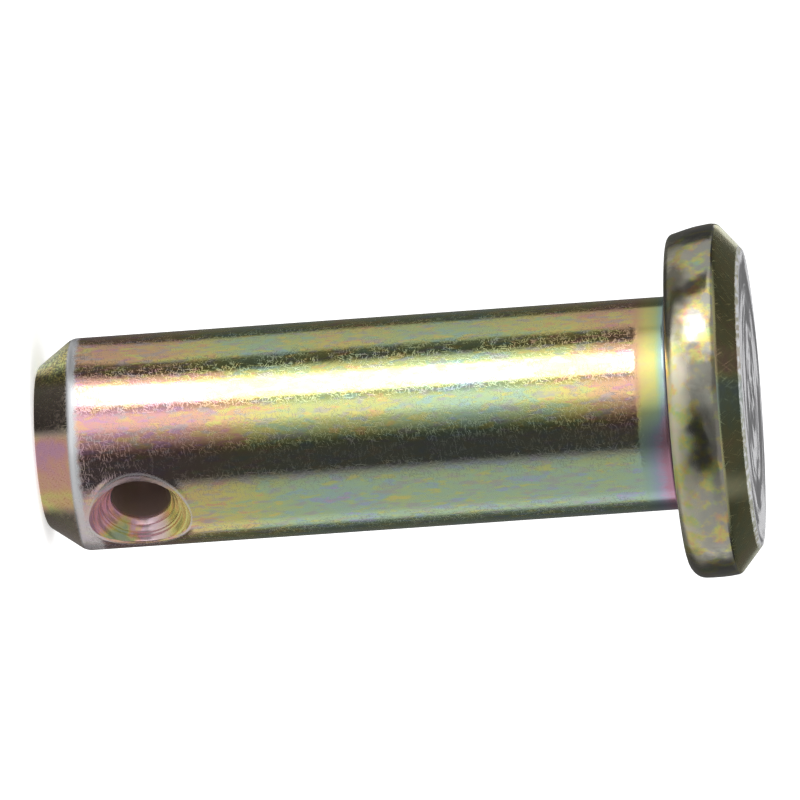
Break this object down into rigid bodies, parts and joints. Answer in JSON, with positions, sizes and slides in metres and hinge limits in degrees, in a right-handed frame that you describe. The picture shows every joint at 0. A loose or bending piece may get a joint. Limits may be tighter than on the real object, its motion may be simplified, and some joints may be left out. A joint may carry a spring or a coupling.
{
  "type": "clevis pin",
  "caption": "Headed clevis pin with a bevelled round head, a tapered point and a countersunk cross hole for a cotter, in yellow zinc plated steel.",
  "frame": {"origin": "centre of the flat end of the point, which the pin stands on", "axes": "+Z along the pin's axis from the point to the head; Y along the cross hole"},
  "size_m": [0.0212, 0.0212, 0.0425],
  "materials": {
    "yellow_zinc_steel": "yellow chromate over bright zinc, iridescent"
  },
  "bodies": {
    "root": {"clevis_pin": "yellow_zinc_steel"}
  },
  "joints": []
}
